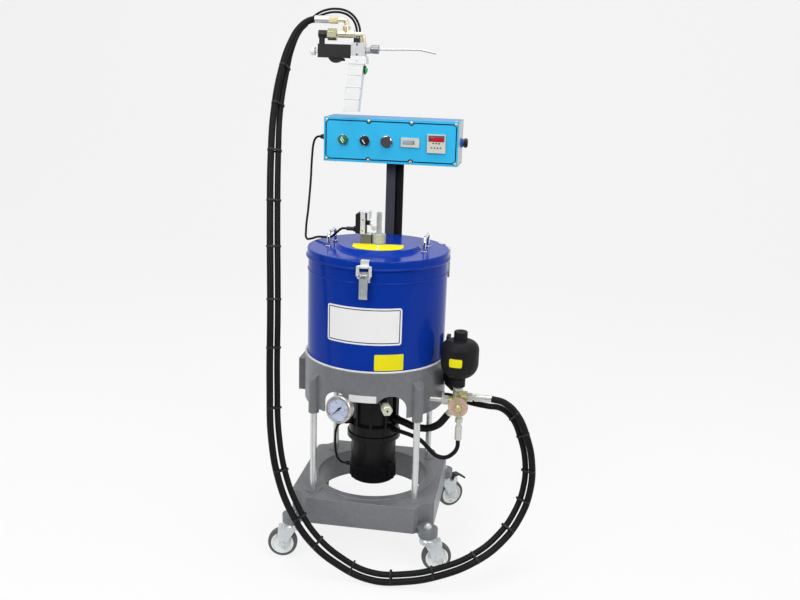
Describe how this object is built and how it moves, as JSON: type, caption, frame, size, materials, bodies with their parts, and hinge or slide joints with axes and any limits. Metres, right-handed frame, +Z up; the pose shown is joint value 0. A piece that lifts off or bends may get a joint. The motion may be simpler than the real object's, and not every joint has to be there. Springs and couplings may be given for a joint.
{
  "type": "electric grease pump",
  "caption": "Mobile electric grease pump: latched drum in a cast collar on posts and casters, motor pump below, control box on a mast, accumulator and a dispensing gun on a hose.",
  "frame": {"origin": "point on the floor under the drum's axis", "axes": "+X to the right of the control panel seen from the front, +Y to the back, +Z up; the panel faces -Y"},
  "size_m": [0.7146, 0.5419, 1.381],
  "materials": {
    "casting": "satin",
    "bright_steel": "bright",
    "zinc": "satin",
    "blue_paint": "gloss",
    "black_paint": "gloss",
    "black_plastic": "satin",
    "yellow_zinc": "satin",
    "grey_paint": "satin",
    "sky_paint": "satin",
    "cream_plastic": "satin",
    "aluminium": "brushed",
    "white_plastic": "satin",
    "brass": "bright",
    "hose_rubber": "satin",
    "green_plastic": "gloss",
    "copper": "satin",
    "tyre": "matt"
  },
  "bodies": {
    "frame": {"base_frame": "casting", "support_posts": "bright_steel", "collar": "casting", "drum": "blue_paint", "lid": "blue_paint", "lid_handles": "bright_steel", "rod_sleeve": "bright_steel", "latch_fixings": "bright_steel", "limit_switch": "black_plastic", "switch_bracket": "zinc", "pump_housing": "black_paint", "motor_body": "black_paint", "gauge_case": "bright_steel", "relief_valve": "yellow_zinc", "accumulator": "black_paint", "accumulator_bracket": "black_paint", "valve_block": "yellow_zinc", "hose_fittings": "zinc", "mast": "black_paint", "conduit": "black_plastic", "control_case": "grey_paint", "front_panel": "sky_paint", "panel_bezels": "bright_steel", "panel_meters": "cream_plastic", "box_glands": "black_plastic", "gun_valve": "black_plastic", "gun_block": "aluminium", "gun_grip": "white_plastic", "gun_fittings": "brass", "gun_nozzle": "bright_steel", "grease_hose": "hose_rubber", "cable_sleeve": "hose_rubber", "switch_cable": "hose_rubber", "gun_cables": "hose_rubber", "pressure_hose": "hose_rubber", "suction_hose": "hose_rubber", "motor_cable": "hose_rubber"},
    "follower": {"follower": "bright_steel"},
    "switch_lever": {"switch_lever": "zinc"},
    "latch_lever_front": {"latch_lever_front": "bright_steel"},
    "latch_lever_right": {"latch_lever_right": "bright_steel"},
    "latch_lever_left": {"latch_lever_left": "bright_steel"},
    "latch_bail_front": {"latch_bail_front": "bright_steel"},
    "latch_bail_right": {"latch_bail_right": "bright_steel"},
    "latch_bail_left": {"latch_bail_left": "bright_steel"},
    "selector_knob_power": {"selector_knob_power": "green_plastic"},
    "selector_knob_mode": {"selector_knob_mode": "black_plastic"},
    "gun_trigger": {"gun_trigger": "green_plastic"},
    "gun_adjuster": {"gun_adjuster": "white_plastic"},
    "shutoff_wheel": {"shutoff_wheel": "copper"},
    "gauge_pointer": {"gauge_pointer": "black_paint"},
    "caster_fork_fl": {"caster_fork_fl": "zinc"},
    "caster_fork_fr": {"caster_fork_fr": "zinc"},
    "caster_fork_rl": {"caster_fork_rl": "zinc"},
    "caster_fork_rr": {"caster_fork_rr": "zinc"},
    "caster_wheel_fl": {"caster_wheel_fl": "tyre"},
    "caster_wheel_fr": {"caster_wheel_fr": "tyre"},
    "caster_wheel_rl": {"caster_wheel_rl": "tyre"},
    "caster_wheel_rr": {"caster_wheel_rr": "tyre"},
    "brake_pedal": {"brake_pedal": "black_plastic"}
  },
  "joints": [
    {"name": "caster_swivel_fl", "type": "hinge", "parent": "frame", "child": "caster_fork_fl", "pos_m": [-0.177, -0.177, 0.0975], "axis": [0, 0, 1], "continuous": true},
    {"name": "caster_roll_fl", "type": "hinge", "parent": "caster_fork_fl", "child": "caster_wheel_fl", "pos_m": [-0.20077, -0.18034, 0.038], "axis": [0.1392, -0.9903, 0], "continuous": true},
    {"name": "caster_swivel_fr", "type": "hinge", "parent": "frame", "child": "caster_fork_fr", "pos_m": [0.177, -0.177, 0.0975], "axis": [0, 0, 1], "continuous": true},
    {"name": "caster_roll_fr", "type": "hinge", "parent": "caster_fork_fr", "child": "caster_wheel_fr", "pos_m": [0.19983, -0.16958, 0.038], "axis": [-0.309, 0.9511, 0], "continuous": true},
    {"name": "caster_swivel_rl", "type": "hinge", "parent": "frame", "child": "caster_fork_rl", "pos_m": [-0.177, 0.177, 0.0975], "axis": [0, 0, 1], "continuous": true},
    {"name": "caster_roll_rl", "type": "hinge", "parent": "caster_fork_rl", "child": "caster_wheel_rl", "pos_m": [-0.19077, 0.19666, 0.038], "axis": [-0.8192, -0.5736, 0], "continuous": true},
    {"name": "caster_swivel_rr", "type": "hinge", "parent": "frame", "child": "caster_fork_rr", "pos_m": [0.177, 0.177, 0.0975], "axis": [0, 0, 1], "continuous": true},
    {"name": "caster_roll_rr", "type": "hinge", "parent": "caster_fork_rr", "child": "caster_wheel_rr", "pos_m": [0.19666, 0.19077, 0.038], "axis": [-0.5736, 0.8192, 0], "continuous": true},
    {"name": "brake_press", "type": "hinge", "parent": "caster_fork_rr", "child": "brake_pedal", "pos_m": [0.20321, 0.19535, 0.087], "axis": [-0.5736, 0.8192, 0], "range_deg": [0, 15]},
    {"name": "latch_open_front", "type": "hinge", "parent": "frame", "child": "latch_lever_front", "pos_m": [0, -0.191, 0.7637], "axis": [-1, 0, 0], "range_deg": [0, 120]},
    {"name": "latch_swing_front", "type": "hinge", "parent": "latch_lever_front", "child": "latch_bail_front", "pos_m": [0, -0.191, 0.7567], "axis": [-1, 0, 0], "range_deg": [-120, 0]},
    {"name": "latch_open_right", "type": "hinge", "parent": "frame", "child": "latch_lever_right", "pos_m": [0.16541, 0.0955, 0.7637], "axis": [0.5, -0.866, 0], "range_deg": [0, 120]},
    {"name": "latch_swing_right", "type": "hinge", "parent": "latch_lever_right", "child": "latch_bail_right", "pos_m": [0.16541, 0.0955, 0.7567], "axis": [0.5, -0.866, 0], "range_deg": [-120, 0]},
    {"name": "latch_open_left", "type": "hinge", "parent": "frame", "child": "latch_lever_left", "pos_m": [-0.16541, 0.0955, 0.7637], "axis": [0.5, 0.866, 0], "range_deg": [0, 120]},
    {"name": "latch_swing_left", "type": "hinge", "parent": "latch_lever_left", "child": "latch_bail_left", "pos_m": [-0.16541, 0.0955, 0.7567], "axis": [0.5, 0.866, 0], "range_deg": [-120, 0]},
    {"name": "follower_slide", "type": "slide", "parent": "frame", "child": "follower", "axis": [0, 0, 1], "range_m": [-0.045, 0.2]},
    {"name": "switch_trip", "type": "hinge", "parent": "frame", "child": "switch_lever", "pos_m": [-0.0276, 0, 0.8559], "axis": [0, 1, 0], "range_deg": [0, 20], "stiffness_Nm_per_rad": 0.05},
    {"name": "power_turn", "type": "hinge", "parent": "frame", "child": "selector_knob_power", "pos_m": [-0.126, 0.1345, 1.049], "axis": [0, -1, 0], "range_deg": [0, 80]},
    {"name": "mode_turn", "type": "hinge", "parent": "frame", "child": "selector_knob_mode", "pos_m": [-0.068, 0.1345, 1.049], "axis": [0, -1, 0], "range_deg": [0, 80]},
    {"name": "trigger_press", "type": "slide", "parent": "frame", "child": "gun_trigger", "axis": [-1, 0, 0], "range_m": [0, 0.003], "stiffness_N_per_m": 600},
    {"name": "adjuster_turn", "type": "hinge", "parent": "frame", "child": "gun_adjuster", "pos_m": [-0.193, 0.13, 1.2715], "axis": [-1, 0, 0], "range_deg": [0, 350]},
    {"name": "shutoff_turn", "type": "hinge", "parent": "frame", "child": "shutoff_wheel", "pos_m": [0.232, -0.117, 0.4255], "axis": [0, -1, 0], "range_deg": [0, 350]},
    {"name": "pointer_sweep", "type": "hinge", "parent": "frame", "child": "gauge_pointer", "pos_m": [-0.05651, -0.19706, 0.4225], "axis": [0.2741, 0.956, -0.1045], "range_deg": [0, 270]}
  ],
  "couplings": [
    {"joint": "latch_swing_front", "follows": "latch_open_front", "ratio": -1},
    {"joint": "latch_swing_right", "follows": "latch_open_right", "ratio": -1},
    {"joint": "latch_swing_left", "follows": "latch_open_left", "ratio": -1}
  ]
}
